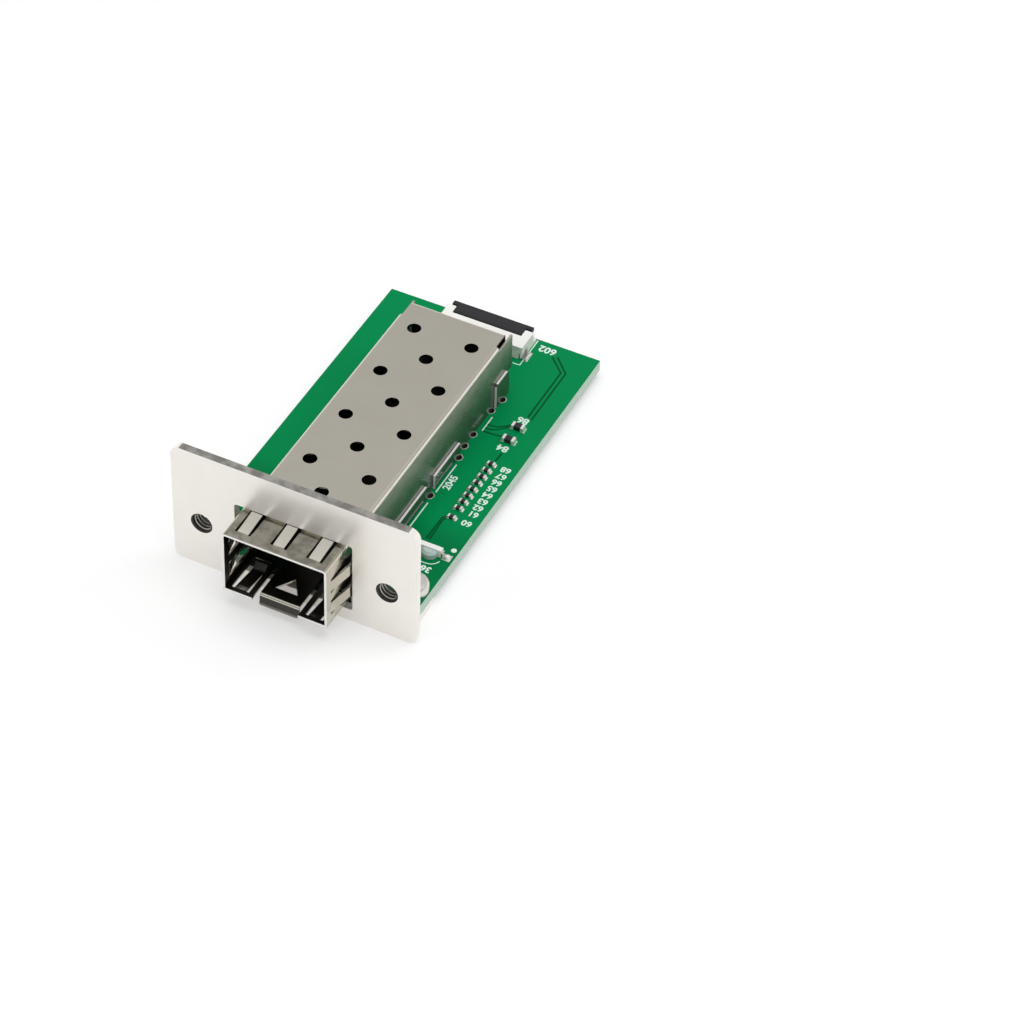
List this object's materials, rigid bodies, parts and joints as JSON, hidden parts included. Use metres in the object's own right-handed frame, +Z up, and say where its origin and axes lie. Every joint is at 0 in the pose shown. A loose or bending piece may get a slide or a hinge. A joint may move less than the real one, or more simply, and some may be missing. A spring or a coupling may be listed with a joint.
{
  "type": "ethernet port card",
  "caption": "Network port card with a pluggable-module cage on a small board behind a two-screw face bracket, and a flat-cable connector with a hinged lock at the rear edge.",
  "frame": {"origin": "midway between the two tapped panel holes, on the front face of the bracket", "axes": "+X to the right seen from the front, +Y to the rear along the card, +Z up from the board"},
  "size_m": [0.0328, 0.0583, 0.018],
  "materials": {
    "bracket_nickel": "satin nickel plate",
    "cage_sheet": "satin rolled sheet",
    "board_mask": "glossy solder mask over laminate",
    "host_plastic": "matte moulded",
    "contact_plate": "gold flash plate",
    "tin_plate": "bright tin plate",
    "housing_plastic": "matte moulded",
    "flap_plastic": "matte moulded",
    "screw_plate": "bright nickel plate",
    "led_white": "matte moulded",
    "led_resin": "clear resin",
    "chip_ceramic": "glazed ceramic with tinned ends"
  },
  "bodies": {
    "card": {"face_bracket": "bracket_nickel", "circuit_board": "board_mask", "cage_cover": "cage_sheet", "cage_base": "cage_sheet", "host_connector_body": "host_plastic", "host_connector_upper_contacts": "contact_plate", "host_connector_lower_contacts": "contact_plate", "cable_connector_housing": "housing_plastic", "cable_connector_contacts": "tin_plate", "cable_connector_tabs": "tin_plate", "board_screws": "screw_plate", "led_body": "led_white", "led_window": "led_resin", "led_terminals": "tin_plate", "chip_capacitor_1": "chip_ceramic", "chip_capacitor_2": "chip_ceramic", "chip_resistor_1": "chip_ceramic", "chip_resistor_2": "chip_ceramic", "chip_resistor_3": "chip_ceramic", "chip_resistor_4": "chip_ceramic", "chip_resistor_5": "chip_ceramic", "chip_resistor_6": "chip_ceramic", "chip_resistor_7": "chip_ceramic", "chip_resistor_8": "chip_ceramic", "chip_resistor_9": "chip_ceramic"},
    "cable_lock": {"cable_lock_flap": "flap_plastic"}
  },
  "joints": [
    {"name": "cable_lock_hinge", "type": "hinge", "parent": "card", "child": "cable_lock", "pos_m": [0, 0.05165, -0.00285], "axis": [1, 0, 0], "range_deg": [0, 90]}
  ]
}
